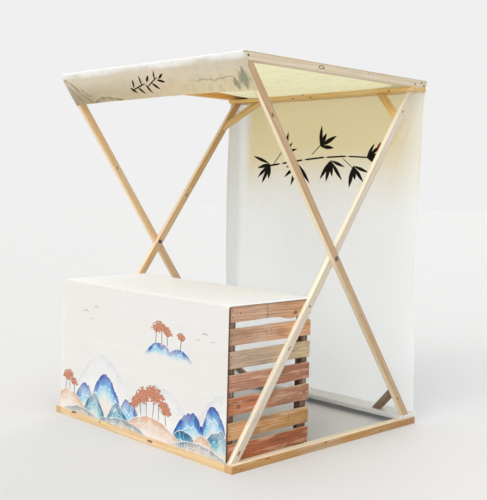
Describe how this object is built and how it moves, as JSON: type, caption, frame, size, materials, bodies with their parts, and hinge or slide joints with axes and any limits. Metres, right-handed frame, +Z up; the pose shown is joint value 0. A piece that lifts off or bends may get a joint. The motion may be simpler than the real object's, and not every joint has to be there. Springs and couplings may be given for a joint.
{
  "type": "wooden market stall",
  "caption": "Open-frame wooden market stall with crossed side legs, a flat canvas roof, a canvas back sheet and a slatted counter box draped in canvas.",
  "frame": {"origin": "on the floor, at the middle of the stall's footprint", "axes": "+X to the right across the front as a customer sees it, +Y from the counter front to the back sheet, +Z up"},
  "size_m": [1.51, 1.5, 2],
  "materials": {
    "pine_yellow": "raw softwood, golden yellow",
    "pine_pink": "raw softwood, pale pinkish",
    "pine_tan": "raw softwood, pinkish tan",
    "pine_cream": "raw softwood, pale cream",
    "pine_grey": "raw softwood, greyish beige",
    "pine_brown": "raw softwood, dark brown",
    "reclaimed_board": "weathered reclaimed board, split and nailed",
    "bolt_steel": "dull galvanised steel",
    "counter_canvas": "matt white canvas with a plain printed landscape band",
    "roof_canvas": "matt cream canvas, slightly translucent",
    "back_canvas": "matt white canvas, slightly translucent"
  },
  "bodies": {
    "root": {"base_rail_left": "pine_yellow", "base_rail_right": "pine_yellow", "front_sill": "pine_pink", "rear_sill_board": "pine_pink", "outer_leg_left": "pine_tan", "outer_leg_right": "pine_tan", "inner_leg_left": "pine_cream", "inner_leg_right": "pine_cream", "top_rail_left": "pine_grey", "top_rail_right": "pine_grey", "front_cross_bar": "pine_grey", "rear_cross_board": "pine_yellow", "top_brace_left": "pine_yellow", "top_brace_right": "pine_yellow", "foot_brace_left": "pine_brown", "foot_brace_right": "pine_brown", "cross_bolt_left": "bolt_steel", "cross_bolt_right": "bolt_steel", "counter_post_front_left": "reclaimed_board", "counter_post_front_right": "reclaimed_board", "counter_post_rear_left": "reclaimed_board", "counter_post_rear_right": "reclaimed_board", "counter_side_rail_left": "reclaimed_board", "counter_side_rail_right": "reclaimed_board", "counter_front_rail": "reclaimed_board", "counter_rear_rail": "reclaimed_board", "counter_top_boards": "reclaimed_board", "counter_slats_left": "reclaimed_board", "counter_slats_right": "reclaimed_board", "counter_slats_front": "reclaimed_board", "counter_top_cloth": "counter_canvas", "counter_front_cloth": "counter_canvas", "roof_cloth": "roof_canvas", "front_valance": "roof_canvas", "back_cloth": "back_canvas", "sill_cloth": "back_canvas"}
  },
  "joints": []
}
